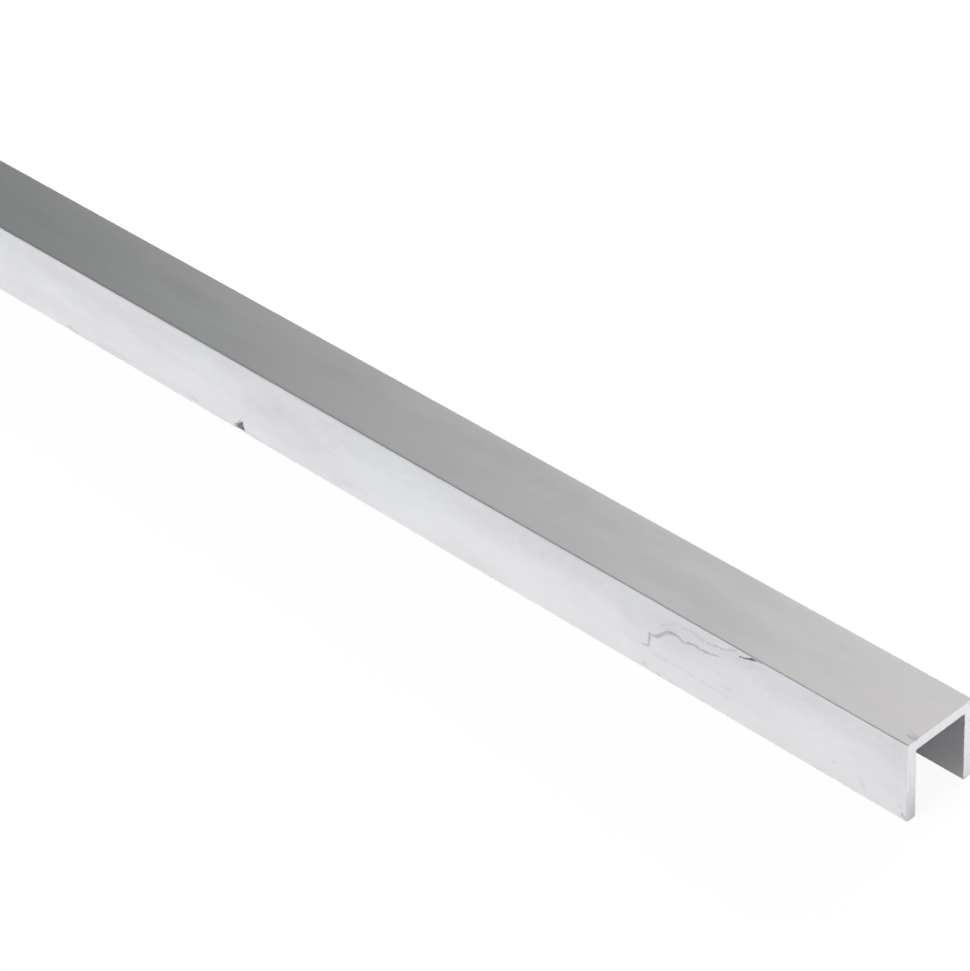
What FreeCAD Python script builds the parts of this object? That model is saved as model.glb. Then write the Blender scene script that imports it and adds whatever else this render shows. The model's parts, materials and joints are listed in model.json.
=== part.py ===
# Extruded aluminium channel section, equal legs, lying with its web up and its two flange tips on the floor.
# The bar is one solid. It runs along X, its width is along Y and Z is up, in millimetres.
# The origin is in the middle of its footprint, level with the flange tips.
import FreeCAD, Part
import os

# Section, nominal 1 in by 1 in by 1/8 in
section_width = 25.4
section_height = 25.4
web_thickness = 3.175
flange_thickness = 3.175

# Stock length, 36 in
bar_length = 914.4

# Corners that the extrusion die leaves
outer_corner_radius = 0.45
inner_corner_radius = 0.2
tip_edge_radius = 0.2

# Edge broken by the file after the saw cut
end_chamfer = 0.15

# The largest share of a wall that one rounded edge may take
radius_share = 0.45

# The largest share of a rounded edge's radius that the broken edge at its end may take
chamfer_share = 0.9


def fit_radius(radius, wall):
    """A corner radius, held under its share of the wall that carries it."""
    return min(radius, radius_share * wall)


def section_corners():
    """The corners of the section as (y, z, radius), in order round the outline."""
    outer_y = section_width / 2
    inner_y = outer_y - flange_thickness
    underside_z = section_height - web_thickness
    outer = fit_radius(outer_corner_radius, min(web_thickness, flange_thickness))
    inner = fit_radius(inner_corner_radius, min(inner_y, underside_z))
    tip = fit_radius(tip_edge_radius, flange_thickness)
    return [
        (-outer_y, 0, tip),
        (-outer_y, section_height, outer),
        (outer_y, section_height, outer),
        (outer_y, 0, tip),
        (inner_y, 0, tip),
        (inner_y, underside_z, inner),
        (-inner_y, underside_z, inner),
        (-inner_y, 0, tip),
    ]


def rounded_outline(corners, x):
    """A closed wire in the plane at x, with an arc at each corner and straight runs between them."""
    arcs = []
    for i, (y, z, radius) in enumerate(corners):
        corner = FreeCAD.Vector(x, y, z)
        before = FreeCAD.Vector(x, *corners[i - 1][:2])
        after = FreeCAD.Vector(x, *corners[(i + 1) % len(corners)][:2])
        to_before = (before - corner).normalize()
        to_after = (after - corner).normalize()
        centre = corner + (to_before + to_after) * radius
        middle = centre + (corner - centre).normalize() * radius
        arcs.append(Part.Arc(corner + to_before * radius, middle, corner + to_after * radius))
    edges = []
    for i, arc in enumerate(arcs):
        following = arcs[(i + 1) % len(arcs)]
        edges.append(arc.toShape())
        edges.append(Part.LineSegment(arc.EndPoint, following.StartPoint).toShape())
    return Part.Wire(edges)


def channel_section():
    """The bar: its section pushed through the whole length, with the edges of both sawn ends broken."""
    start_x = -bar_length / 2
    section = Part.Face(rounded_outline(section_corners(), start_x))
    bar = section.extrude(FreeCAD.Vector(bar_length, 0, 0))
    smallest_radius = min(radius for y, z, radius in section_corners())
    chamfer = min(end_chamfer, chamfer_share * smallest_radius)
    end_edges = [edge for edge in bar.Edges if edge.BoundBox.XLength < chamfer]
    return bar.makeChamfer(chamfer, end_edges)


os.makedirs("parts", exist_ok=True)
channel = channel_section()
channel.exportStep("parts/channel_section.step")
print("valid", channel.isValid(), "solids", len(channel.Solids), "volume mm3", round(channel.Volume, 1))
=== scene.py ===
# Aluminium channel section in mill finish, lying web up with a sawn end towards the camera
import json
import math
import bpy
import bmesh
import numpy as np
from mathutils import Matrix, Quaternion, Vector, noise

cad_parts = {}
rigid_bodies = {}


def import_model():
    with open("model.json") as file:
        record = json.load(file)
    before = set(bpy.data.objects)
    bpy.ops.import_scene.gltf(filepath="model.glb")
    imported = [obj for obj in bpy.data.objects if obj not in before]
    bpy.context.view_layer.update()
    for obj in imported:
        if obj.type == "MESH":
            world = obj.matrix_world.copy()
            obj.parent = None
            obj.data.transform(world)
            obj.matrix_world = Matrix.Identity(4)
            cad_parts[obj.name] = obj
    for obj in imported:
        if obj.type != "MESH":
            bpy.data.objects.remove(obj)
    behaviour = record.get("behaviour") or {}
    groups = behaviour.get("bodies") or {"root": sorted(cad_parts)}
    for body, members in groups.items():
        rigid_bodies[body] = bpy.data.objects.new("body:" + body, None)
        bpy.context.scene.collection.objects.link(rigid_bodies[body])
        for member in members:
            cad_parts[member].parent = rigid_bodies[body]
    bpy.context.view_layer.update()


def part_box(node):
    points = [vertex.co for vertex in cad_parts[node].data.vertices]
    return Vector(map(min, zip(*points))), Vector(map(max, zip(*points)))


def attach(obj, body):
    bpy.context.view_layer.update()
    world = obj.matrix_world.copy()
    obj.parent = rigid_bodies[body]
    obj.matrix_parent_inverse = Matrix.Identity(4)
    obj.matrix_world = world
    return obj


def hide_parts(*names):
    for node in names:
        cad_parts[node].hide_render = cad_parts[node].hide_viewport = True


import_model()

mm = 0.001                  # Blender works in metres, the sizes here are in millimetres
lowCorner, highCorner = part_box("channel_section")
nearEndX = highCorner.x     # the sawn end that faces the camera
farEndX = lowCorner.x
frontY = lowCorner.y        # outer face of the front flange
webTopZ = highCorner.z


def hexColour(text):
    # sRGB hex to the linear values that the shader works in
    levels = [int(text[i:i + 2], 16) / 255 for i in (1, 3, 5)]
    linear = [v / 12.92 if v <= 0.04045 else ((v + 0.055) / 1.055) ** 2.4 for v in levels]
    return (*linear, 1.0)


def addNode(tree, kind, settings=None, inputs=None):
    # one node with its settings; an input takes a value, or another node's socket as a link
    node = tree.nodes.new(kind)
    for name, value in (settings or {}).items():
        setattr(node, name, value)
    for name, value in (inputs or {}).items():
        if isinstance(value, bpy.types.NodeSocket):
            tree.links.new(value, node.inputs[name])
        else:
            node.inputs[name].default_value = value
    return node


def calculate(tree, operation, *values):
    # one step of arithmetic between numbers and sockets
    return addNode(tree, "ShaderNodeMath", {"operation": operation}, dict(enumerate(values))).outputs[0]


def mapRange(tree, value, source, target=(0.0, 1.0), settings=None):
    # the two ends of the source go to the two ends of the target, and nothing goes past them
    return addNode(
        tree, "ShaderNodeMapRange", settings,
        {"Value": value, "From Min": source[0], "From Max": source[1],
         "To Min": target[0], "To Max": target[1]}).outputs[0]


def mixColours(tree, share, first, second):
    # the first colour where the share is 0, and the second where it is 1
    return addNode(
        tree, "ShaderNodeMix", {"data_type": "RGBA"}, {0: share, 6: first, 7: second}).outputs[2]


def unitVector(angle, height):
    # from a compass angle, +Y towards +X, and a height above level, both in degrees
    turn = math.radians(angle)
    rise = math.radians(height)
    return Vector((math.sin(turn) * math.cos(rise), math.cos(turn) * math.cos(rise), math.sin(rise)))


# Camera

cameraView = {
    "lens": 137.1,          # for Blender's 36 mm sensor
    "distance": 1027.8,     # from the lens to the point on the web that it aims at
    "aimFromEnd": 159.3,    # that point, back from the near end
    "aimAcross": -6.5,      # and off the middle of the web, towards the front flange
    "heading": -48.25,      # degrees, measured from +Y towards +X
    "downTilt": 36.33,      # degrees below level
    "roll": -4.01,          # degrees
}


def placeCamera(view):
    forward = unitVector(view["heading"], -view["downTilt"])
    aim = Vector((nearEndX - view["aimFromEnd"] * mm, view["aimAcross"] * mm, webTopZ))
    camera = bpy.data.objects.new("camera", bpy.data.cameras.new("camera"))
    camera.data.lens = view["lens"]
    camera.data.clip_start = 0.05
    camera.data.clip_end = 50
    camera.rotation_mode = "QUATERNION"
    camera.location = aim - forward * view["distance"] * mm
    roll = Quaternion((0, 0, 1), math.radians(view["roll"]))
    camera.rotation_quaternion = forward.to_track_quat("-Z", "Y") @ roll
    bpy.context.scene.collection.objects.link(camera)
    bpy.context.scene.camera = camera


placeCamera(cameraView)
print("camera placed")


# Studio: white paper floor lit by soft boxes all round, and a pale tent for the metal to mirror

studio = {
    "floorSize": 8.0,           # metres
    "floorColour": "#f7f7f8",
    "floorGlow": 0.93,          # share of plain white in the floor that the camera sees
    "wallColour": "#383a3b",    # what the floor faces between the soft boxes
    "tentColour": "#ededea",    # what the metal mirrors above the floor
    "gapColour": "#494f50",     # and the dark gap in that, on the left
    "gapAngle": -98.7,          # compass angle of the gap's middle, from +Y to +X
    "gapHeight": 24.4,          # and its height, both in degrees
    "gapEdge": (38.6, 52.1),    # degrees from that middle: dark up to the first, white from the second
    "boxDistance": 1.6,         # metres, from the bar to each soft box
    "boxSize": (0.8, 0.5),
    "barMiddle": (0.27, 0.0, 0.02),
}
# Compass angle from +Y to +X and height in degrees, power in watts. Only a mirrored box shows in the
# metal, because the others would burn it out to white; that one lifts the dark line on the front corner.
softBoxes = {
    "behind": {"angle": 0, "height": 25, "power": 23.7, "colour": "#fcfffd"},
    "behindLeft": {"angle": -30, "height": 10, "power": 16.5, "colour": "#fffbf1"},
    "leftFill": {"angle": -60, "height": 42, "power": 0.3, "colour": "#dcf1ff"},
    "overhead": {"angle": 0, "height": 88, "power": 3.0, "colour": "#cbe8ff"},
    "frontLow": {"angle": 150, "height": 10, "power": 8.0, "colour": "#fff3e8"},
    "front": {"angle": 180, "height": 10, "power": 11.7, "colour": "#fbfdff"},
    "frontHigh": {"angle": 180, "height": 60, "power": 10.5, "colour": "#fffcf7"},
    "farLeft": {"angle": -90, "height": 10, "power": 24.8, "colour": "#fefeff"},
    "nearEnd": {"angle": 90, "height": 10, "power": 6.5, "colour": "#fffcfb"},
    "cornerLift": {"angle": -138, "height": 28, "power": 1.4, "colour": "#ffffff", "mirrored": True},
}


def buildFloor(values):
    half = values["floorSize"] / 2
    mesh = bpy.data.meshes.new("floor")
    clearance = 0.02 * mm       # keeps the floor's plane off the flange tips' faces
    corners = [(-half, -half), (half, -half), (half, half), (-half, half)]
    mesh.from_pydata([(x, y, -clearance) for x, y in corners], [], [(0, 1, 2, 3)])
    floor = bpy.data.objects.new("floor", mesh)
    bpy.context.scene.collection.objects.link(floor)
    paper = bpy.data.materials.new("whitePaper")
    paper.use_nodes = True
    tree = paper.node_tree
    tree.nodes.clear()
    colour = hexColour(values["floorColour"])
    path = addNode(tree, "ShaderNodeLightPath")
    matt = addNode(tree, "ShaderNodeBsdfDiffuse", inputs={"Color": colour})
    glow = addNode(tree, "ShaderNodeEmission", inputs={"Color": (1, 1, 1, 1), "Strength": 1.0})
    share = calculate(tree, "MULTIPLY", path.outputs["Is Camera Ray"], values["floorGlow"])
    mixed = addNode(
        tree, "ShaderNodeMixShader", inputs={0: share, 1: matt.outputs[0], 2: glow.outputs[0]})
    addNode(tree, "ShaderNodeOutputMaterial", inputs={"Surface": mixed.outputs[0]})
    mesh.materials.append(paper)


def buildWorld(values):
    world = bpy.data.worlds.new("studio")
    bpy.context.scene.world = world
    world.use_nodes = True
    tree = world.node_tree
    tree.nodes.clear()
    path = addNode(tree, "ShaderNodeLightPath")
    towards = addNode(tree, "ShaderNodeTexCoord").outputs["Generated"]
    gapMiddle = unitVector(values["gapAngle"], values["gapHeight"])
    nearness = addNode(
        tree, "ShaderNodeVectorMath", {"operation": "DOT_PRODUCT"}, {0: towards, 1: gapMiddle})
    darkEdge, whiteEdge = (math.cos(math.radians(v)) for v in values["gapEdge"])
    inGap = mapRange(
        tree, nearness.outputs["Value"], (whiteEdge, darkEdge),
        settings={"interpolation_type": "SMOOTHSTEP"})
    tent = mixColours(tree, inGap, hexColour(values["tentColour"]), hexColour(values["gapColour"]))
    mirrored = mixColours(tree, path.outputs["Is Glossy Ray"], hexColour(values["wallColour"]), tent)
    colour = mixColours(tree, path.outputs["Is Camera Ray"], mirrored, (1, 1, 1, 1))
    background = addNode(tree, "ShaderNodeBackground", inputs={"Color": colour, "Strength": 1.0})
    addNode(tree, "ShaderNodeOutputWorld", inputs={"Surface": background.outputs[0]})


def addSoftBox(name, values):
    away = unitVector(values["angle"], values["height"])
    lamp = bpy.data.lights.new(name, "AREA")
    lamp.shape = "RECTANGLE"
    lamp.size, lamp.size_y = studio["boxSize"]
    lamp.energy = values["power"]
    lamp.color = hexColour(values["colour"])[:3]
    box = bpy.data.objects.new(name, lamp)
    box.location = Vector(studio["barMiddle"]) + away * studio["boxDistance"]
    box.rotation_mode = "QUATERNION"
    box.rotation_quaternion = (-away).to_track_quat("-Z", "Y")
    box.visible_camera = False
    box.visible_glossy = values.get("mirrored", False)
    bpy.context.scene.collection.objects.link(box)


buildFloor(studio)
buildWorld(studio)
for boxName, boxValues in softBoxes.items():
    addSoftBox(boxName, boxValues)
bpy.context.scene.view_settings.view_transform = "Standard"
print("studio lit")


# Channel body, swept along the bar by Geometry Nodes

channel = {
    "wall": 3.175,              # web and flanges
    "outerRadius": 0.45,        # corners that the die leaves
    "innerRadius": 0.2,
    "tipRadius": 0.2,
    "arcSteps": 5,              # facets round each of those corners
    "outlineStep": 2.0,         # between points on the flat runs of the outline
    "stationStep": 3.5,         # between cross-sections along the bar
    "endChamfer": 0.15,         # edge broken after the saw cut
}


def buildSectionTree():
    # the outline from its eight corners, filleted, then swept along a line on the X axis
    tree = bpy.data.node_groups.new("extrudedSection", "GeometryNodeTree")
    sizes = ["Length", "Width", "Height", "Wall", "Outer Radius", "Inner Radius", "Tip Radius",
             "Outline Step", "Station Step"]
    for name in sizes:
        tree.interface.new_socket(name, in_out="INPUT", socket_type="NodeSocketFloat")
    tree.interface.new_socket("Arc Steps", in_out="INPUT", socket_type="NodeSocketInt")
    tree.interface.new_socket("Finish", in_out="INPUT", socket_type="NodeSocketMaterial")
    tree.interface.new_socket("Geometry", in_out="OUTPUT", socket_type="NodeSocketGeometry")
    given = addNode(tree, "NodeGroupInput").outputs

    outerY = calculate(tree, "MULTIPLY", given["Width"], 0.5)
    innerY = calculate(tree, "SUBTRACT", outerY, given["Wall"])
    undersideZ = calculate(tree, "SUBTRACT", given["Height"], given["Wall"])
    backOuterY = calculate(tree, "MULTIPLY", outerY, -1.0)
    backInnerY = calculate(tree, "MULTIPLY", innerY, -1.0)
    floorZ = 0.0
    corners = [
        (outerY, floorZ, "Tip Radius"), (outerY, given["Height"], "Outer Radius"),
        (backOuterY, given["Height"], "Outer Radius"), (backOuterY, floorZ, "Tip Radius"),
        (backInnerY, floorZ, "Tip Radius"), (backInnerY, undersideZ, "Inner Radius"),
        (innerY, undersideZ, "Inner Radius"), (innerY, floorZ, "Tip Radius"),
    ]
    index = addNode(tree, "GeometryNodeInputIndex").outputs[0]
    places = addNode(tree, "GeometryNodeIndexSwitch", {"data_type": "VECTOR"}, {"Index": index})
    radii = addNode(tree, "GeometryNodeIndexSwitch", {"data_type": "FLOAT"}, {"Index": index})
    for chooser in (places, radii):
        while len(chooser.index_switch_items) < len(corners):
            chooser.index_switch_items.new()
    for i, (y, z, radiusName) in enumerate(corners):
        # the sweep turns the outline's own Y downwards, so heights go in as negative
        down = calculate(tree, "MULTIPLY", z, -1.0)
        place = addNode(tree, "ShaderNodeCombineXYZ", inputs={"X": y, "Y": down})
        tree.links.new(place.outputs[0], places.inputs[i + 1])
        tree.links.new(given[radiusName], radii.inputs[i + 1])
    points = addNode(tree, "GeometryNodeMeshLine", inputs={"Count": len(corners)})
    placed = addNode(
        tree, "GeometryNodeSetPosition",
        inputs={"Geometry": points.outputs[0], "Position": places.outputs[0]})
    opened = addNode(tree, "GeometryNodeMeshToCurve", inputs={"Mesh": placed.outputs[0]})
    closed = addNode(
        tree, "GeometryNodeSetSplineCyclic", inputs={"Geometry": opened.outputs[0], "Cyclic": True})
    rounded = addNode(
        tree, "GeometryNodeFilletCurve", {"mode": "POLY"},
        {"Curve": closed.outputs[0], "Count": given["Arc Steps"], "Radius": radii.outputs[0],
         "Limit Radius": True})

    # flat runs are cut into steps; the arcs' own facets are shorter than a step and stay whole
    here = addNode(tree, "GeometryNodeInputPosition").outputs[0]
    pointCount = addNode(
        tree, "GeometryNodeAttributeDomainSize", {"component": "CURVE"},
        {"Geometry": rounded.outputs[0]}).outputs["Point Count"]
    following = calculate(tree, "MODULO", calculate(tree, "ADD", index, 1.0), pointCount)
    there = addNode(
        tree, "GeometryNodeFieldAtIndex", {"data_type": "FLOAT_VECTOR", "domain": "POINT"},
        {"Index": following, "Value": here}).outputs[0]
    runLength = addNode(
        tree, "ShaderNodeVectorMath", {"operation": "DISTANCE"}, {0: here, 1: there}).outputs["Value"]
    cuts = calculate(tree, "FLOOR", calculate(tree, "DIVIDE", runLength, given["Outline Step"]))
    outline = addNode(
        tree, "GeometryNodeSubdivideCurve", inputs={"Curve": rounded.outputs[0], "Cuts": cuts})

    halfLength = calculate(tree, "MULTIPLY", given["Length"], 0.5)
    backHalf = calculate(tree, "MULTIPLY", halfLength, -1.0)
    nearPoint = addNode(tree, "ShaderNodeCombineXYZ", inputs={"X": halfLength})
    farPoint = addNode(tree, "ShaderNodeCombineXYZ", inputs={"X": backHalf})
    line = addNode(
        tree, "GeometryNodeCurvePrimitiveLine",
        inputs={"Start": nearPoint.outputs[0], "End": farPoint.outputs[0]})
    stationCount = calculate(tree, "DIVIDE", given["Length"], given["Station Step"])
    stationCuts = calculate(tree, "FLOOR", stationCount)
    stations = addNode(
        tree, "GeometryNodeSubdivideCurve", inputs={"Curve": line.outputs[0], "Cuts": stationCuts})
    swept = addNode(
        tree, "GeometryNodeCurveToMesh",
        inputs={"Curve": stations.outputs[0], "Profile Curve": outline.outputs[0], "Fill Caps": True})
    outward = addNode(tree, "GeometryNodeFlipFaces", inputs={"Mesh": swept.outputs[0]})
    realized = addNode(tree, "GeometryNodeRealizeInstances", inputs={"Geometry": outward.outputs[0]})
    painted = addNode(
        tree, "GeometryNodeSetMaterial",
        inputs={"Geometry": realized.outputs[0], "Material": given["Finish"]})
    addNode(tree, "NodeGroupOutput", inputs={"Geometry": painted.outputs[0]})
    return tree


def sweepBody(sizes, finish):
    tree = buildSectionTree()
    carrier = bpy.data.objects.new("carrier", bpy.data.meshes.new("carrier"))
    bpy.context.scene.collection.objects.link(carrier)
    modifier = carrier.modifiers.new("section", "NODES")
    modifier.node_group = tree
    values = {
        "Length": nearEndX - farEndX, "Width": highCorner.y - lowCorner.y,
        "Height": highCorner.z - lowCorner.z, "Wall": sizes["wall"] * mm,
        "Outer Radius": sizes["outerRadius"] * mm, "Inner Radius": sizes["innerRadius"] * mm,
        "Tip Radius": sizes["tipRadius"] * mm, "Outline Step": sizes["outlineStep"] * mm,
        "Station Step": sizes["stationStep"] * mm, "Arc Steps": sizes["arcSteps"], "Finish": finish,
    }
    for item in tree.interface.items_tree:
        if item.in_out == "INPUT":
            modifier[item.identifier] = values[item.name]
    evaluated = carrier.evaluated_get(bpy.context.evaluated_depsgraph_get())
    mesh = bpy.data.meshes.new_from_object(evaluated)
    bpy.data.objects.remove(carrier)
    mesh.name = "aluminiumChannel"
    return mesh


# Sawn ends: denser mesh, broken edge, saw lines, and the burr that the blade leaves

millSlot = 0                # the mesh's two materials
sawnSlot = 1
sawnEnd = {
    "ringOffsets": (0.3, 0.6, 1.0, 1.6),    # extra cross-sections, back from the cut
    "edgeStep": 0.2,            # between points round the outline of the cut
    "lineStep": 0.14,           # mesh across the saw lines
    "alongStep": 0.4,           # mesh along the saw lines
    "lineSpacing": 0.55,        # between the blade's score lines
    "lineDrift": 0.02,          # how fast a line changes along its own length, per millimetre
    "lineDepth": 0.012,
    "bladeRadius": 127.0,       # the blade's middle lies this far to the front
    "bladeHeight": 10.0,        # and this far above the floor
    "burrSpacing": 0.5,         # between the teeth of the burr on the cut's edges
    "burrHeight": 0.04,
    "innerBurr": 0.5,           # the longer teeth along the back flange's inner edge
    "frontTooth": 0.2,          # the share of that, even all along, on the front flange's inner edge
    "toothSpacing": 1.25,
    "toothWander": 0.3,         # how fast the teeth fall out of step
    "toothSeed": 3.2,
    "seed": 11.0,
}


def withEdges(faces):
    # the faces with their edges and corners, as a cut by a plane takes them
    return list({*faces, *(e for f in faces for e in f.edges), *(v for f in faces for v in f.verts)})


def cutEndMesh(bm, endX, sizes):
    # cross-sections close to the cut, points round its edge, the broken edge, then a grid on the face
    inward = -1 if endX > 0 else 1
    tolerance = 0.01 * mm       # the middle of a face with many corners is only as exact as this
    squareOn = 0.9              # a face of the cut has at least this share of its normal along the bar
    nearCut = [f for f in bm.faces if abs(f.calc_center_median().x - endX) < channel["stationStep"] * mm]
    geometry = withEdges(nearCut)
    for offset in sizes["ringOffsets"]:
        geometry = bmesh.ops.bisect_plane(
            bm, geom=geometry, plane_co=(endX + inward * offset * mm, 0, 0), plane_no=(1, 0, 0))["geom"]
    reach = max(sizes["ringOffsets"][:-1]) * mm + tolerance
    runs = [
        e for e in bm.edges
        if all(abs(v.co.x - endX) < reach for v in e.verts)
        and abs(e.verts[0].co.x - e.verts[1].co.x) < tolerance
        and e.calc_length() > 2 * sizes["edgeStep"] * mm]
    pieces = round(max(e.calc_length() for e in runs) / (sizes["edgeStep"] * mm))
    bmesh.ops.subdivide_edges(bm, edges=runs, cuts=pieces - 1, use_grid_fill=True)
    cut = [
        f for f in bm.faces
        if abs(f.normal.x) > squareOn and abs(f.calc_center_median().x - endX) < tolerance]
    broken = bmesh.ops.inset_region(
        bm, faces=cut, thickness=channel["endChamfer"] * mm, use_even_offset=True)["faces"]
    rim = {v for f in broken for v in f.verts} - {v for f in cut for v in f.verts}
    for v in rim:
        v.co.x += inward * channel["endChamfer"] * mm
    geometry = withEdges(cut)
    spans = (
        ((0, 1, 0), lowCorner.y, highCorner.y, sizes["lineStep"] * mm),
        ((0, 0, 1), lowCorner.z, highCorner.z, sizes["alongStep"] * mm),
    )
    for direction, low, high, step in spans:
        for i in range(1, int((high - low) / step)):
            place = Vector(direction) * (low + i * step)
            geometry = bmesh.ops.bisect_plane(
                bm, geom=geometry, plane_co=place, plane_no=direction)["geom"]
    for f in geometry:
        if isinstance(f, bmesh.types.BMFace):
            f.material_index = sawnSlot


def scoreCut(bm, endX, sizes):
    # the blade's lines run up the flanges as wide arcs; the burr is along the cut's edges
    inward = -1 if endX > 0 else 1
    tolerance = 0.001 * mm
    margin = 0.3 * mm           # takes in the rounded corners of the inner edges
    unrelated = Vector((7.3, 1.9, 0))       # a step to a second value of the noise
    innerY = highCorner.y - channel["wall"] * mm
    undersideZ = webTopZ - channel["wall"] * mm
    sawn = [f for f in bm.faces if f.material_index == sawnSlot]
    face = {v for f in sawn for v in f.verts if abs(v.co.x - endX) < tolerance}
    edge = {v for v in face if any(f.material_index == millSlot for f in v.link_faces)}
    for v in face:
        radius = math.hypot(v.co.y / mm + sizes["bladeRadius"], v.co.z / mm - sizes["bladeHeight"])
        along = v.co.z / mm * sizes["lineDrift"]
        line = noise.noise(Vector((radius / sizes["lineSpacing"], along, sizes["seed"])))
        v.co.x += inward * sizes["lineDepth"] * mm * (0.5 + 0.5 * line)
    for v in edge:
        place = Vector((v.co.y, v.co.z, endX)) / (sizes["burrSpacing"] * mm)
        jitter = Vector((0, noise.noise(place), noise.noise(place + unrelated)))
        v.co += jitter * sizes["burrHeight"] * mm
        if abs(v.co.y) < innerY + margin and v.co.z < undersideZ:
            wander = Vector((place.y * sizes["toothWander"], sizes["seed"], sizes["toothSeed"]))
            turn = v.co.z / (sizes["toothSpacing"] * mm) + noise.noise(wander)
            tooth = turn % 1.0 if v.co.y > 0 else sizes["frontTooth"]
            v.co.y -= math.copysign(sizes["innerBurr"] * tooth * mm, v.co.y)


# Flat that a file left across the near cut's front upright edge, widest at the floor

filedFlat = {
    "width": 0.55,
    "reach": 14.0,              # height at which it runs out
    "grimeAndShade": 0.08,
}


def fileCorner(bm, sizes):
    width = sizes["width"] * mm
    low = Vector((nearEndX - width, frontY, lowCorner.z))
    across = Vector((nearEndX, frontY + width, lowCorner.z))
    top = Vector((nearEndX, frontY, lowCorner.z + sizes["reach"] * mm))
    outwards = (across - low).cross(top - low).normalized()
    span = 1.2 * sizes["reach"] * mm        # takes in every face that the file touched
    geometry = withEdges([f for f in bm.faces if (f.calc_center_median() - top).length < span])
    bmesh.ops.bisect_plane(bm, geom=geometry, plane_co=low, plane_no=outwards, clear_outer=True)
    grimeAndShade = bm.verts.layers.float.get("grimeAndShade")
    for f in bmesh.ops.edgeloop_fill(bm, edges=[e for e in bm.edges if e.is_boundary])["faces"]:
        f.material_index = sawnSlot
        for v in f.verts:
            v[grimeAndShade] = max(v[grimeAndShade], sizes["grimeAndShade"])
        f.normal_update()
        if f.normal.dot(outwards) < 0:
            f.normal_flip()


# Marks of handling and storage: scratches, dents, and stains, and among them painted shade and painted
# highlights

paintNames = ("grimeAndShade", "stain", "bareAndHighlight")     # what a mark lays on the metal besides its depth: dirt and painted shade, stain, and bare metal and painted highlights
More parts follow.
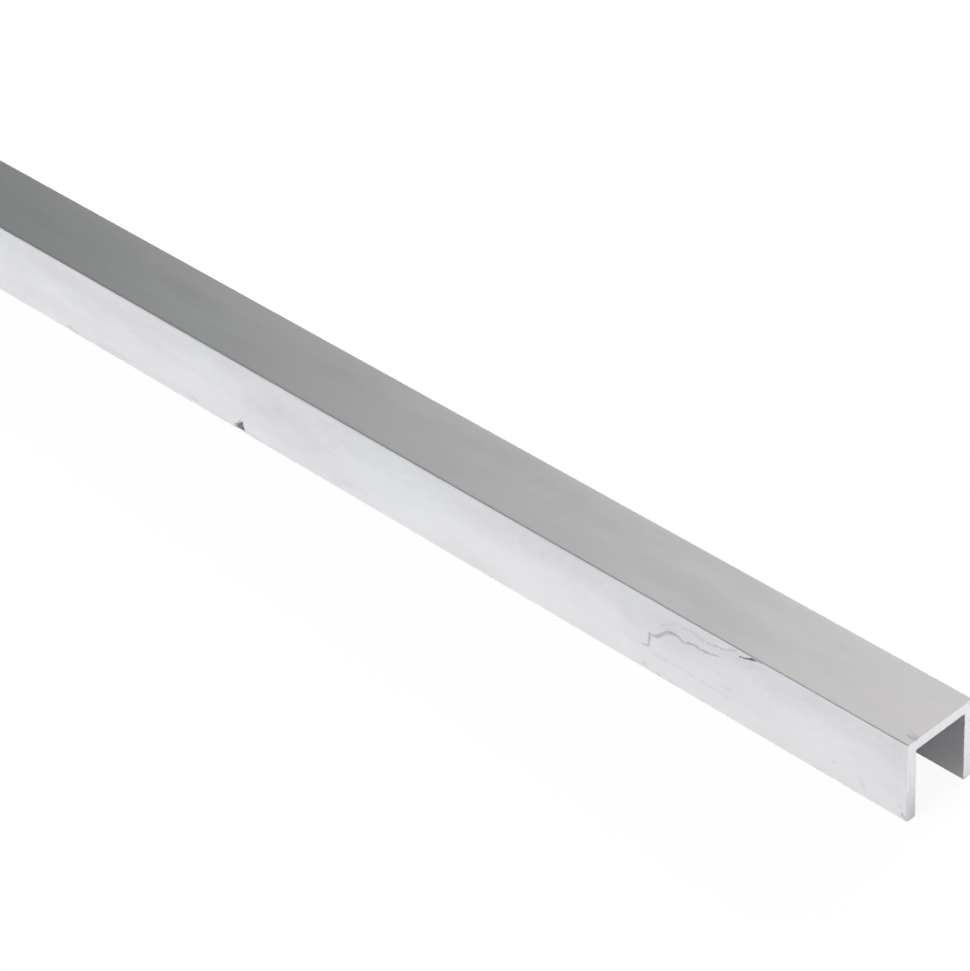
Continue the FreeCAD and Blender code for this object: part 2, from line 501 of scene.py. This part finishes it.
# A point is back from the near end and up the flange, or back and across the web, or across and up the
# cut, in millimetres. Its third number is the share of the mark's width there.
marks = {
    "flange": {
        "hookScratch": {
            "width": 1.2, "depth": 0.1, "grimeAndShade": 0.42,
            "path": [(93.5, 8.2, 0.3), (91.1, 8.9, 0.6), (90.5, 12.5, 0.6), (90.7, 13.4, 0.4),
                     (88.9, 13.2, 0.6), (87.5, 13.9, 0.9), (85.7, 15.6, 1.0), (83.3, 17.6, 1.2),
                     (80.9, 17.9, 0.9), (79.6, 17.8, 0.8), (78.3, 16.8, 0.7), (77.2, 17.0, 0.4),
                     (75.7, 17.9, 0.8), (74.1, 18.1, 0.7), (72.0, 17.9, 0.8), (70.0, 18.1, 0.8),
                     (67.9, 18.4, 0.7), (65.3, 19.0, 0.3)]},
        "hookStart": {
            "width": 0.9, "depth": 0.01, "grimeAndShade": 0.07,
            "path": [(100.2, 7.6, 0.6), (97.0, 7.5, 0.4), (93.2, 8.4, 1.0)]},
        "dash": {
            "width": 1.3, "depth": 0.02, "grimeAndShade": 0.17,
            "path": [(86.1, 18.2, 0.7), (84.5, 19.2, 1.0), (80.8, 21.5, 0.3)]},
        "upperScratch": {
            "width": 1.4, "depth": 0.04, "grimeAndShade": 0.23,
            "path": [(78.0, 21.7, 0.6), (75.6, 22.2, 0.9), (73.6, 22.1, 1.0), (72.0, 21.7, 1.5),
                     (70.5, 21.5, 0.9)]},
        "rubbedScratch": {
            "width": 1.1, "depth": 0.06, "grimeAndShade": 0.28,
            "path": [(69.2, 21.6, 0.7), (66.9, 22.0, 1.1), (64.3, 22.3, 0.8), (61.7, 23.2, 0.8),
                     (58.7, 24.6, 0.6)]},
        # painted highlight: a bright rim along the rubbed scratch, laid as bare metal
        "scratchHighlight": {
            "width": 0.8, "depth": 0.03, "bareAndHighlight": 0.9,
            "path": [(66.6, 23.1, 0.7), (63.8, 23.4, 1.0), (61.7, 24.0, 0.6)]},
        "edgeGouge": {
            "width": 0.9, "depth": 0.14, "grimeAndShade": 0.8, "edge": 4,
            "path": [(57.8, 23.0, 0.4), (55.5, 23.7, 0.6), (53.3, 24.5, 1.0), (51.6, 24.9, 0.5),
                     (49.8, 25.2, 0.2)]},
        "gougeTrail": {
            "width": 1.2, "depth": 0.01, "grimeAndShade": 0.1,
            "path": [(56.2, 22.1, 0.6), (53.1, 22.6, 1.0), (50.1, 23.0, 0.5)]},
        "lowScratch": {
            "width": 0.8, "depth": 0.02, "grimeAndShade": 0.09,
            "path": [(82.7, 7.2, 0.5), (81.2, 7.3, 1.3), (79.5, 7.5, 0.4), (77.9, 7.2, 0.9),
                     (75.3, 7.1, 0.8), (72.2, 6.9, 0.9), (68.0, 6.9, 0.8), (64.4, 6.9, 0.9),
                     (61.5, 6.5, 0.6)]},
        # painted highlight: a pale streak under the low scratch, laid as bare metal
        "lowScratchHighlight": {
            "width": 0.7, "bareAndHighlight": 0.2,
            "path": [(76.0, 6.2, 0.6), (70.0, 6.0, 1.0), (64.5, 6.0, 0.7)]},
        "strokes": {
            "width": 1.3, "grimeAndShade": 0.05, "stain": 0.1,
            "path": [(64.9, 9.5, 0.7), (61.3, 9.7, 1.0)]},
        "shortStroke": {
            "width": 1.1, "grimeAndShade": 0.04, "stain": 0.1,
            "path": [(65.9, 13.6, 1.0), (64.9, 13.4, 1.0)]},
        "lowSpots": {
            "width": 1.6, "grimeAndShade": 0.07,
            "path": [(88.4, 7.0, 0.8), (86.4, 7.2, 1.0), (83.9, 7.1, 0.7)]},
        "tipSpot": {
            "width": 1.1, "depth": 0.03, "grimeAndShade": 0.2,
            "path": [(92.9, 1.9, 1.0), (92.3, 1.2, 0.7)]},
        "tipNick": {
            "width": 0.9, "depth": 0.07, "grimeAndShade": 0.16,
            "path": [(88.0, 1.2, 0.8), (87.6, 0.3, 1.0)]},
        "tipNickTwo": {
            "width": 0.8, "depth": 0.07, "grimeAndShade": 0.14,
            "path": [(83.6, 0.8, 0.8), (83.3, 0.1, 1.0)]},
        "tipNickThree": {
            "width": 0.8, "depth": 0.06, "grimeAndShade": 0.12,
            "path": [(199.5, 0.7, 0.8), (199.5, 0.1, 1.0)]},
        # a real dent at the flange's tip, with its spurs; its dark inside is painted shade and dirt
        "bite": {
            "width": 3.9, "depth": 0.5, "grimeAndShade": 0.85, "edge": 6,
            "path": [(258.6, 3.2, 0.2), (259.0, 1.9, 0.55), (259.9, 0.3, 1.0)]},
        "biteSpur": {
            "width": 0.9, "depth": 0.15, "grimeAndShade": 0.6,
            "path": [(258.3, 3.8, 0.5), (258.6, 2.9, 1.0)]},
        "biteSpurTwo": {
            "width": 0.9, "depth": 0.15, "grimeAndShade": 0.6,
            "path": [(261.3, 2.1, 0.5), (261.0, 1.5, 1.0)]},
        "tipDent": {
            "width": 1.2, "depth": 0.08, "grimeAndShade": 0.15,
            "path": [(281.4, 2.0, 0.8), (279.8, 1.4, 1.0)]},
        "longDent": {
            "width": 0.95, "depth": 0.08, "grimeAndShade": 0.2,
            "path": [(341.4, 1.3, 0.5), (339.6, 1.1, 1.1), (337.4, 0.9, 0.9), (336.0, 0.8, 0.3)]},
        "tipSmudge": {
            "width": 2.4, "grimeAndShade": 0.02, "stain": 0.08,
            "path": [(326.0, 1.9, 0.6), (319.5, 1.8, 1.0), (312.5, 1.2, 0.6)]},
        "tipLine": {"width": 1.0, "grimeAndShade": 0.1, "path": [(254.8, 0.6, 0.7), (249.3, 0.6, 0.8)]},
        "violetCloud": {
            "width": 8.0, "grimeAndShade": 0.012, "stain": 0.2,
            "path": [(253.0, 14.2, 0.8), (244.0, 14.2, 1.0), (238.0, 14.6, 1.0), (231.5, 13.5, 1.0),
                     (225.0, 12.2, 0.9)]},
        "greyBand": {
            "width": 4.4, "grimeAndShade": 0.04,
            "path": [(290.0, 13.6, 0.8), (276.0, 14.2, 1.0), (266.0, 14.0, 0.9)]},
        "underEdgeCloud": {
            "width": 5.0, "grimeAndShade": 0.025, "stain": 0.12,
            "path": [(268.0, 22.2, 0.8), (260.0, 21.9, 1.0), (253.0, 22.2, 0.8)]},
        "violetSmudge": {
            "width": 2.4, "grimeAndShade": 0.03, "stain": 0.18,
            "path": [(221.5, 13.0, 1.0), (214.8, 15.7, 0.8)]},
        "shortLine": {
            "width": 0.9, "depth": 0.01, "grimeAndShade": 0.08,
            "path": [(221.5, 11.2, 0.6), (219.3, 11.8, 1.0), (217.5, 11.9, 1.0), (215.8, 11.5, 0.7)]},
        "paleStreak": {
            "width": 1.8, "grimeAndShade": 0.05,
            "path": [(214.3, 3.4, 0.6), (208.8, 3.8, 1.0), (203.5, 4.0, 0.6)]},
        "smudge": {"width": 1.6, "grimeAndShade": 0.06, "path": [(308.9, 13.3, 0.8), (305.5, 14.9, 1.0)]},
        "smudgeSpot": {"width": 1.6, "grimeAndShade": 0.05, "path": [(301.8, 19.2, 1.0), (300.6, 19.2, 0.7)]},
        "farSmudge": {"width": 2.0, "grimeAndShade": 0.05, "path": [(325.0, 15.1, 0.7), (319.6, 14.7, 1.0)]},
        "farSpecks": {
            "width": 1.2, "bareAndHighlight": 0.2,
            "path": [(353.7, 14.6, 0.6), (350.1, 16.5, 0.4), (347.7, 18.1, 1.0)]},
        "farLine": {
            "width": 0.8, "grimeAndShade": 0.045,
            "path": [(358.1, 9.0, 0.7), (360.6, 5.6, 1.0), (363.2, 1.7, 1.0)]},
        "farMark": {"width": 1.1, "grimeAndShade": 0.04, "path": [(305.6, 4.0, 0.8), (300.9, 3.6, 1.0)]},
        "cleanPatch": {"width": 24.0, "bareAndHighlight": 0.35, "path": [(174.0, 11.0, 0.9), (138.0, 10.0, 1.0)]},
        "cleanEnd": {
            "width": 16.0, "bareAndHighlight": 0.35,
            "path": [(32.0, 13.0, 0.8), (18.0, 15.0, 1.0), (4.0, 15.0, 1.0)]},
        "cleanMiddle": {"width": 10.0, "bareAndHighlight": 0.4, "path": [(132.0, 14.0, 1.0), (104.0, 14.0, 0.9)]},
        # painted shade: the upper flange darker, from the cut back, as light falls on it
        "upperPaintedShade": {"width": 16.0, "grimeAndShade": 0.1, "path": [(450.0, 24.0, 1.0), (0.0, 24.0, 1.0)]},
        "farDull": {"width": 8.0, "grimeAndShade": 0.03, "path": [(336.0, 21.0, 1.0), (306.0, 21.0, 1.0)]},
        "cleanLow": {"width": 7.0, "bareAndHighlight": 0.35, "path": [(136.0, 7.0, 0.9), (100.0, 6.0, 1.0)]},
        "lowDull": {"width": 8.0, "grimeAndShade": 0.02, "path": [(50.0, 3.0, 0.8), (12.0, 3.0, 1.0)]},
        # painted shade: a soft grey band under the top edge, below the gouge
        "paintedShadeBand": {
            "width": 6.0, "grimeAndShade": 0.065,
            "path": [(88.0, 22.8, 0.6), (74.0, 23.0, 0.7), (62.0, 22.6, 0.7), (50.0, 21.8, 1.0),
                     (38.0, 22.6, 1.1), (28.0, 23.4, 0.6)]},
        "rustTint": {
            "width": 2.2, "grimeAndShade": 0.03, "stain": 0.15,
            "path": [(34.8, 21.7, 1.0), (31.2, 22.0, 1.0)]},
        "smear": {
            "width": 1.4, "grimeAndShade": 0.1,
            "path": [(39.0, 20.6, 0.5), (36.2, 21.1, 1.0), (34.4, 21.4, 0.6)]},
        "smearTwo": {
            "width": 2.0, "grimeAndShade": 0.09,
            "path": [(30.7, 20.2, 0.7), (28.4, 20.4, 1.0), (25.8, 19.6, 0.6)]},
        "edgeBreak": {
            "width": 0.9, "depth": 0.07, "grimeAndShade": 0.2,
            "path": [(43.2, 24.6, 0.7), (42.2, 24.8, 1.0)]},
        "edgeBreakTwo": {
            "width": 1.0, "depth": 0.09, "grimeAndShade": 0.25,
            "path": [(32.8, 24.7, 0.7), (30.9, 24.9, 1.0)]},
        "pits": {
            "width": 1.1, "depth": 0.03, "grimeAndShade": 0.14,
            "path": [(25.1, 5.8, 0.8), (24.5, 6.1, 0.6)]},
        "pitsTwo": {
            "width": 2.2, "depth": 0.04, "grimeAndShade": 0.1,
            "path": [(16.3, 5.5, 0.9), (15.4, 4.2, 1.0), (14.6, 3.2, 0.6)]},
        "nearLine": {
            "width": 1.0, "depth": 0.01, "grimeAndShade": 0.04,
            "path": [(12.0, 19.3, 0.6), (8.1, 23.3, 1.0), (5.8, 24.4, 0.7)]},
        "endLine": {
            "width": 0.6, "depth": 0.01, "grimeAndShade": 0.09,
            "path": [(1.1, 23.0, 0.6), (0.9, 19.4, 1.0), (0.8, 17.9, 1.6), (0.6, 15.5, 0.9),
                     (0.6, 13.2, 1.5), (0.7, 11.5, 0.6)]},
        "endMark": {
            "width": 1.0, "depth": 0.04, "grimeAndShade": 0.12,
            "path": [(2.6, 4.6, 0.8), (2.2, 3.6, 0.8)]},
        "cornerBlot": {
            "width": 1.3, "depth": 0.05, "grimeAndShade": 0.36,
            "path": [(1.7, 1.7, 0.7), (1.0, 0.9, 1.0)]},
    },
    "web": {
        "toolMark": {
            "width": 1.5, "depth": 0.03, "grimeAndShade": 0.16, "stain": 0.2,
            "path": [(3.0, -9.6, 0.5), (1.9, -9.7, 0.9), (1.1, -9.6, 1.0), (0.5, -9.2, 0.9)]},
        "toolArc": {
            "width": 0.9, "depth": 0.02, "grimeAndShade": 0.1,
            "path": [(3.4, -7.9, 0.4), (2.3, -8.3, 0.9), (1.1, -8.5, 0.9)]},
        "faintSpot": {"width": 1.4, "grimeAndShade": 0.05, "path": [(7.9, 6.3, 1.0), (7.2, 6.6, 0.6)]},
        # painted light: the web lighter along its back edge, more so far from the cut, laid as bare metal
        "backEdgePaintedLight": {
            "width": 9.0, "bareAndHighlight": 0.4,
            "path": [(420.0, 9.0, 1.0), (230.0, 9.0, 1.0), (180.0, 9.0, 0.6)]},
    },
    "end": {
        # darker towards the floor on the front flange's cut end
        "lowTipDarkening": {"width": 7.0, "grimeAndShade": 0.07, "path": [(-11.2, -1.0, 1.0), (-11.2, 4.0, 1.0)]},
        "tipStreak": {
            "width": 0.7, "grimeAndShade": 0.08,
            "path": [(-11.6, 0.3, 1.0), (-11.5, 8.0, 0.8), (-11.5, 12.0, 0.4)]},
        "tipStreakTwo": {
            "width": 0.5, "grimeAndShade": 0.05,
            "path": [(-10.4, 0.3, 0.8), (-10.3, 9.0, 0.8), (-10.3, 14.0, 0.4)]},
    },
}
# How the mesh is refined for the marks, and how ragged they are
marking = {
    "skin": 0.3,                # millimetres under a face that its marks may reach
    "finest": 0.16,             # mesh step at a mark, as a share of the mark's width
    "held": 0.9,                # that step holds out to this share of the width
    "growth": 0.4,              # and beyond it grows by this share of the distance
    "slack": 1.5,               # an edge is halved when it is longer than this many steps
    "spread": 0.52,             # share of the width at which a mark has faded to a third
    "stray": 0.2,               # how far its path strays, as a share of the width
    "raggedWidth": 0.45,        # how much its width varies
    "raggedDepth": 0.35,        # and how much its depth and its paint do
    "shallowest": 0.0001,       # millimetres, under which a mark leaves the metal where it is
    # seed and scale of the noise for straying both ways, for the width and for the depth
    "noises": ((3.0, 1.1), (8.0, 1.1), (5.0, 2.6), (1.0, 0.7)),
}


def belowFace(face, place):
    # how far under that face's plane the place lies
    return {"flange": place.y - frontY, "web": webTopZ - place.z, "end": nearEndX - place.x}[face]


def drawnOn(face, places):
    # the face's own two directions, in millimetres
    back = (nearEndX - places[:, 0]) / mm
    across = places[:, 1] / mm
    up = places[:, 2] / mm
    return np.stack({"flange": (back, up), "web": (back, across), "end": (across, up)}[face], axis=1)


def distanceToPath(points, path, width):
    # for each point, the gap to the path and that gap over the mark's width there
    gap = np.full(len(points), np.inf)
    ratio = np.full(len(points), np.inf)
    for (x0, y0, s0), (x1, y1, s1) in zip(path, path[1:]):
        run = np.array((x1 - x0, y1 - y0))
        along = np.clip(((points - (x0, y0)) @ run) / (run @ run), 0, 1)
        there = np.linalg.norm(points - (x0, y0) - along[:, None] * run, axis=1)
        gap = np.minimum(gap, there)
        ratio = np.minimum(ratio, there / (width * (s0 + (s1 - s0) * along)))
    return gap, ratio


def refineRound(bm, face, given, rules):
    # halves the face's edges until each is short enough for the nearest mark
    while True:
        edges = [e for e in bm.edges if all(belowFace(face, v.co) < rules["skin"] * mm for v in e.verts)]
        middles = np.array([(e.verts[0].co + e.verts[1].co) / 2 for e in edges])
        lengths = np.array([e.calc_length() for e in edges]) / mm
        points = drawnOn(face, middles)
        wanted = np.full(len(edges), np.inf)
        for mark in given.values():
            gap, _ = distanceToPath(points, mark["path"], mark["width"])
            beyond = np.maximum(gap - rules["held"] * mark["width"], 0)
            wanted = np.minimum(wanted, rules["finest"] * mark["width"] + rules["growth"] * beyond)
        tooLong = [e for e, length, most in zip(edges, lengths, wanted) if length > rules["slack"] * most]
        if not tooLong:
            return
        bmesh.ops.subdivide_edges(bm, edges=tooLong, cuts=1, use_grid_fill=True)


def pressMarks(bm, face, given, rules):
    # grooves go into the metal; dirt and painted shade, stain, and bare metal and painted highlights go
    # into the attributes that the finish reads
    inwards = Vector({"flange": (0, 1, 0), "web": (0, 0, -1), "end": (-1, 0, 0)}[face])
    layers = {name: bm.verts.layers.float.get(name) for name in paintNames}
    verts = [v for v in bm.verts if belowFace(face, v.co) < rules["skin"] * mm]
    points = drawnOn(face, np.array([v.co for v in verts]))
    ragged = np.array([
        [noise.noise(Vector((a, b, seed)) * scale) for seed, scale in rules["noises"]]
        for a, b in points])
    values = {name: np.zeros(len(verts)) for name in ("depth", *paintNames)}
    for mark in given.values():
        strayed = points + rules["stray"] * mark["width"] * ragged[:, :2]
        _, ratio = distanceToPath(strayed, mark["path"], mark["width"])
        ratio = ratio * (1 + rules["raggedWidth"] * ragged[:, 2])
        faded = np.exp(-(ratio / rules["spread"]) ** mark.get("edge", 2))
        section = faded * (1 + rules["raggedDepth"] * ragged[:, 3])
        for name, value in values.items():
            np.maximum(value, mark.get(name, 0.0) * section, out=value)
    for i, v in enumerate(verts):
        if values["depth"][i] > rules["shallowest"]:
            v.co += inwards * float(values["depth"][i]) * mm
        for name, layer in layers.items():
            v[layer] = max(v[layer], float(values[name][i]))


# Finishes

millFinish = {
    "metal": "#f3f3f5",
    "clouded": "#ecebee",
    "warmed": "#f5f2f4",
    "stain": "#cdc6d2",
    # bright for bare metal, and for the painted highlights and painted light of some marks
    "bareAndHighlight": "#fcfcfc",
    # dark for dirt, and for the painted shade of some marks
    "grimeAndShade": "#45434b",
    "roughness": 0.38,
    "dieLineRough": 0.08,               # how much the die lines vary that
    "speckRough": 0.04,                 # and the specks
    "cloudSize": (34.0, 9.0, 9.0),      # patches of thicker oxide, longer along the bar
    "cloudRange": (0.38, 0.68),         # the part of their noise that goes from metal to clouded
    "tintSize": (90.0, 15.0, 15.0),
    "tintRange": (0.48, 0.7),
    "dieLineSize": (160.0, 0.30, 0.30),
    "dieLineDepth": 0.0022,
    "speckSize": (0.45, 0.45, 0.45),
    # painted shade along the corner of web and front flange, a dark line in place of the dark reflection
    # in its rounding: its colour, reach, fade and strength
    "line": "#3f4544",
    "paintedShadeDown": 0.7,                    # reach of the painted corner shade from the corner down the flange
    "paintedShadeAcross": 0.42,                 # and from the corner across the web
    "paintedShadeFade": 0.3,
    "paintedShadeWaver": 0.5,
    "paintedShadeWaverSize": (40.0, 40.0, 40.0),
    "paintedShadeShare": (0.01, 0.11),          # strength of the painted corner shade at the near end, and from the run given next back along the bar
    "paintedShadeRun": 200.0,
    # back from the cut, the painted corner shade is narrowed up to the first by the last, and at its full
    # width from the second
    "paintedShadeNarrowing": (18.0, 42.0, 0.55),
}
sawnFinish = {
    "metal": "#e6e5e7",
    "dulled": "#d6d6da",
    "grimeAndShade": "#4b4a50",
    "roughness": 0.46,
    "lineWidth": 0.16,
    "lineDepth": 0.006,
    "shadeRange": (0.4, 0.75),          # the part of the lines' noise that goes from metal to dulled
}


def newSurface(name):
    material = bpy.data.materials.new(name)
    material.use_nodes = True
    shader = material.node_tree.nodes["Principled BSDF"]
    shader.inputs["Metallic"].default_value = 1.0
    return material, material.node_tree, shader


def patternNoise(tree, size, detail, shift=0.0):
    # noise over the object's own coordinates, its features as long as the sizes given in millimetres
    place = addNode(tree, "ShaderNodeTexCoord").outputs["Object"]
    spread = addNode(
        tree, "ShaderNodeMapping",
        inputs={"Vector": place, "Location": (shift, shift, shift), "Scale": [1 / (v * mm) for v in size]})
    texture = addNode(
        tree, "ShaderNodeTexNoise", {"noise_dimensions": "3D"},
        {"Vector": spread.outputs[0], "Scale": 1.0, "Detail": detail, "Roughness": 0.5})
    return texture.outputs[0]


def paintedCornerShade(tree, look):
    # share of the painted shade along the corner of web and front flange, a dark line in place of the dark
    # reflection in the corner's rounding
    place = addNode(tree, "ShaderNodeTexCoord").outputs["Object"]
    parts = addNode(tree, "ShaderNodeSeparateXYZ", inputs={0: place}).outputs
    below = calculate(tree, "SUBTRACT", webTopZ, parts["Z"])
    inward = calculate(tree, "SUBTRACT", parts["Y"], frontY)
    shadeNarrowFrom, shadeNarrowTo, shadeNarrowBy = look["paintedShadeNarrowing"]
    shadeNarrowing = mapRange(
        tree, parts["X"], (nearEndX - shadeNarrowTo * mm, nearEndX - shadeNarrowFrom * mm), (0.0, shadeNarrowBy * mm))
    deeper = calculate(tree, "ADD", below, shadeNarrowing)
    waver = patternNoise(tree, look["paintedShadeWaverSize"], detail=2.0, shift=1.3)
    wavering = calculate(tree, "MULTIPLY_ADD", waver, look["paintedShadeWaver"] * mm, deeper)
    depth = look["paintedShadeDown"] + look["paintedShadeWaver"] / 2
    across = calculate(tree, "MULTIPLY", inward, depth / look["paintedShadeAcross"])
    deepest = calculate(tree, "MAXIMUM", wavering, across)
    nearShare, farShare = look["paintedShadeShare"]
    strength = mapRange(
        tree, parts["X"], (nearEndX - look["paintedShadeRun"] * mm, nearEndX), (farShare, nearShare))
    return mapRange(tree, deepest, (depth * mm, (depth + look["paintedShadeFade"]) * mm), (strength, 0.0))


def makeMillFinish(look):
    # soft grey metal whose cloudy oxide and faint die lines keep a long plain face from looking painted
    material, tree, shader = newSurface("millFinishAluminium")
    clouds = mapRange(tree, patternNoise(tree, look["cloudSize"], detail=3.0), look["cloudRange"])
    clouded = mixColours(tree, clouds, hexColour(look["metal"]), hexColour(look["clouded"]))
    tint = mapRange(tree, patternNoise(tree, look["tintSize"], detail=2.0, shift=3.7), look["tintRange"])
    colour = mixColours(tree, tint, clouded, hexColour(look["warmed"]))
    # stain, then bare metal with painted highlights, then dirt with painted shade, over the metal's colour
    for name in ("stain", "bareAndHighlight", "grimeAndShade"):
        painted = addNode(tree, "ShaderNodeAttribute", {"attribute_name": name})
        colour = mixColours(tree, painted.outputs["Fac"], colour, hexColour(look[name]))
    # the painted corner shade darkens the colour along the corner of web and front flange
    lined = mixColours(tree, paintedCornerShade(tree, look), colour, hexColour(look["line"]))
    tree.links.new(lined, shader.inputs["Base Color"])
    dieLines = patternNoise(tree, look["dieLineSize"], detail=2.0)
    specks = patternNoise(tree, look["speckSize"], detail=1.0)
    smoothest = look["roughness"] - (look["dieLineRough"] + look["speckRough"]) / 2
    streaked = calculate(tree, "MULTIPLY_ADD", dieLines, look["dieLineRough"], smoothest)
    rough = calculate(tree, "MULTIPLY_ADD", specks, look["speckRough"], streaked)
    tree.links.new(rough, shader.inputs["Roughness"])
    bump = addNode(
        tree, "ShaderNodeBump", inputs={"Distance": look["dieLineDepth"] * mm, "Height": dieLines})
    tree.links.new(bump.outputs[0], shader.inputs["Normal"])
    return material


def makeSawnFinish(look, sizes):
    # brighter fresh metal whose fine arcs tell the eye that the end was cut with a blade
    material, tree, shader = newSurface("sawnAluminium")
    place = addNode(tree, "ShaderNodeTexCoord").outputs["Object"]
    blade = (0.0, -sizes["bladeRadius"] * mm, sizes["bladeHeight"] * mm)
    fromBlade = addNode(tree, "ShaderNodeVectorMath", {"operation": "SUBTRACT"}, {0: place, 1: blade})
    flat = addNode(
        tree, "ShaderNodeVectorMath", {"operation": "MULTIPLY"},
        {0: fromBlade.outputs[0], 1: (0.0, 1.0, 1.0)})
    radius = addNode(tree, "ShaderNodeVectorMath", {"operation": "LENGTH"}, {0: flat.outputs[0]})
    turns = calculate(tree, "DIVIDE", radius.outputs["Value"], look["lineWidth"] * mm)
    lines = addNode(
        tree, "ShaderNodeTexNoise", {"noise_dimensions": "1D"},
        {"W": turns, "Scale": 1.0, "Detail": 3.0}).outputs[0]
    shade = mapRange(tree, lines, look["shadeRange"])
    lined = mixColours(tree, shade, hexColour(look["metal"]), hexColour(look["dulled"]))
    grimeAndShade = addNode(tree, "ShaderNodeAttribute", {"attribute_name": "grimeAndShade"})
    colour = mixColours(tree, grimeAndShade.outputs["Fac"], lined, hexColour(look["grimeAndShade"]))
    tree.links.new(colour, shader.inputs["Base Color"])
    shader.inputs["Roughness"].default_value = look["roughness"]
    bump = addNode(tree, "ShaderNodeBump", inputs={"Distance": look["lineDepth"] * mm, "Height": lines})
    tree.links.new(bump.outputs[0], shader.inputs["Normal"])
    return material


# Assembly of the one piece

sharpAngle = 35             # degrees between two faces, from which their edge is shaded sharp

mesh = sweepBody(channel, makeMillFinish(millFinish))
mesh.materials.append(makeSawnFinish(sawnFinish, sawnEnd))
bm = bmesh.new()
bm.from_mesh(mesh)
for layerName in paintNames:
    bm.verts.layers.float.new(layerName)
for endX in (nearEndX, farEndX):
    cutEndMesh(bm, endX, sawnEnd)
    scoreCut(bm, endX, sawnEnd)
print("sawn ends:", len(bm.faces), "faces")
for faceName, faceMarks in marks.items():
    if faceName != "end":       # the cut has a fine grid of its own
        refineRound(bm, faceName, faceMarks, marking)
    pressMarks(bm, faceName, faceMarks, marking)
    print("marks on", faceName + ":", len(bm.faces), "faces")
fileCorner(bm, filedFlat)
bmesh.ops.triangulate(bm, faces=[f for f in bm.faces if len(f.verts) > 4])
bm.to_mesh(mesh)
bm.free()
mesh.shade_smooth()
mesh.set_sharp_from_angle(angle=math.radians(sharpAngle))
body = bpy.data.objects.new("aluminiumChannel", mesh)
bpy.context.scene.collection.objects.link(body)
weighted = body.modifiers.new("flatFaces", "WEIGHTED_NORMAL")
weighted.keep_sharp = True
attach(body, "root")
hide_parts("channel_section")
print("channel body:", sum(len(p.vertices) - 2 for p in body.data.polygons), "triangles")
